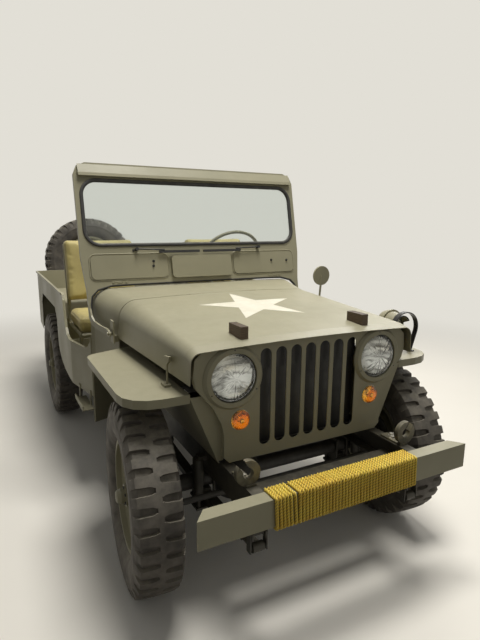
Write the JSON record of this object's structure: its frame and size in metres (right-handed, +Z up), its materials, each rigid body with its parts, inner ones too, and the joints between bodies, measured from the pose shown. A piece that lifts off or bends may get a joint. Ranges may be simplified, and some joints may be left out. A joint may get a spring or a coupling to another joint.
{
  "type": "army 4x4 car",
  "caption": "Open-bodied light military 4x4 car with slotted grille, folding windshield, flat fenders, rope-wound bumper and rear spare wheel.",
  "frame": {"origin": "on the ground under the middle of the car's length and width, rope apart", "axes": "+Z up, +Y to the rear of the car, +X to the car's left; the car faces -Y"},
  "size_m": [1.456, 3.416, 1.6997],
  "materials": {
    "body_paint": "satin",
    "chassis_paint": "matte",
    "drive_metal": "matte",
    "dark_metal": "satin",
    "tyre": "matte",
    "rope": "matte",
    "lamp_glass": "gloss",
    "amber": "gloss",
    "red_lens": "gloss",
    "pane": "gloss",
    "seat_cloth": "matte",
    "wood": "satin",
    "wheel_plastic": "satin",
    "blade": "matte"
  },
  "bodies": {
    "chassis": {"chassis_frame": "chassis_paint", "cross_members": "chassis_paint", "front_bumper": "body_paint", "tow_hooks": "body_paint", "rope_winding": "rope", "leaf_springs": "chassis_paint", "shock_absorbers": "chassis_paint", "axle_front": "chassis_paint", "axle_rear": "chassis_paint", "engine_block": "drive_metal", "propeller_shafts": "drive_metal", "exhaust": "drive_metal", "radiator": "dark_metal", "grille_panel": "body_paint", "headlamps": "lamp_glass", "marker_lamps": "amber", "blackout_lamp": "body_paint", "front_fenders": "body_paint", "hood_catches": "body_paint", "cowl": "body_paint", "body_sides": "body_paint", "wheelhouses": "body_paint", "body_floor": "body_paint", "tail_panel": "body_paint", "seat_frames": "body_paint", "seat_cushions": "seat_cloth", "steering_column": "dark_metal", "control_levers": "dark_metal", "spare_carrier": "body_paint", "spare_rim": "body_paint", "spare_tyre": "tyre", "tail_lamps": "red_lens"},
    "hood": {"hood": "body_paint", "hood_blocks": "wood"},
    "windshield": {"windshield_frame": "body_paint", "windshield_glass": "pane", "vent_cover": "body_paint", "wipers": "blade", "mirror": "body_paint"},
    "steering_wheel": {"steering_wheel": "wheel_plastic"},
    "knuckle_left": {"knuckle_left": "chassis_paint"},
    "knuckle_right": {"knuckle_right": "chassis_paint"},
    "tie_rod": {"tie_rod": "chassis_paint"},
    "front_left_wheel": {"front_left_tyre": "tyre", "front_left_rim": "body_paint"},
    "front_right_wheel": {"front_right_tyre": "tyre", "front_right_rim": "body_paint"},
    "rear_left_wheel": {"rear_left_tyre": "tyre", "rear_left_rim": "body_paint"},
    "rear_right_wheel": {"rear_right_tyre": "tyre", "rear_right_rim": "body_paint"}
  },
  "joints": [
    {"name": "hood_hinge", "type": "hinge", "parent": "chassis", "child": "hood", "pos_m": [0, -0.6575, 1.055], "axis": [-1, 0, 0], "range_deg": [0, 95]},
    {"name": "windshield_fold", "type": "hinge", "parent": "chassis", "child": "windshield", "pos_m": [0, -0.6495, 0.893], "axis": [-1, 0, 0], "range_deg": [-104, 0]},
    {"name": "steer_left", "type": "hinge", "parent": "chassis", "child": "knuckle_left", "pos_m": [0.518, -1.1905, 0.368], "axis": [0, 0, 1], "range_deg": [-21.1, 30.9]},
    {"name": "steer_right", "type": "hinge", "parent": "chassis", "child": "knuckle_right", "pos_m": [-0.518, -1.1905, 0.368], "axis": [0, 0, 1], "range_deg": [-21.1, 30.9]},
    {"name": "tie_rod_turn", "type": "hinge", "parent": "knuckle_left", "child": "tie_rod", "pos_m": [0.50391, -1.3549, 0.3883], "axis": [0, 0, 1], "range_deg": [-30.9, 21.1]},
    {"name": "steering_wheel_turn", "type": "hinge", "parent": "chassis", "child": "steering_wheel", "pos_m": [0.332, -0.0515, 1.173], "axis": [0, 0.848, 0.5299], "range_deg": [-295.4, 432.6]},
    {"name": "front_left_spin", "type": "hinge", "parent": "knuckle_left", "child": "front_left_wheel", "pos_m": [0.61265, -1.19861, 0.368], "axis": [0.9963, -0.0854, 0], "continuous": true},
    {"name": "front_right_spin", "type": "hinge", "parent": "knuckle_right", "child": "front_right_wheel", "pos_m": [-0.61265, -1.18239, 0.368], "axis": [0.9963, -0.0854, 0], "continuous": true},
    {"name": "rear_left_spin", "type": "hinge", "parent": "chassis", "child": "rear_left_wheel", "pos_m": [0.613, 0.8415, 0.368], "axis": [1, 0, 0], "continuous": true},
    {"name": "rear_right_spin", "type": "hinge", "parent": "chassis", "child": "rear_right_wheel", "pos_m": [-0.613, 0.8415, 0.368], "axis": [1, 0, 0], "continuous": true}
  ],
  "couplings": [
    {"joint": "steer_right", "follows": "steer_left", "ratio": 1},
    {"joint": "tie_rod_turn", "follows": "steer_left", "ratio": -1},
    {"joint": "steering_wheel_turn", "follows": "steer_left", "ratio": 14}
  ]
}
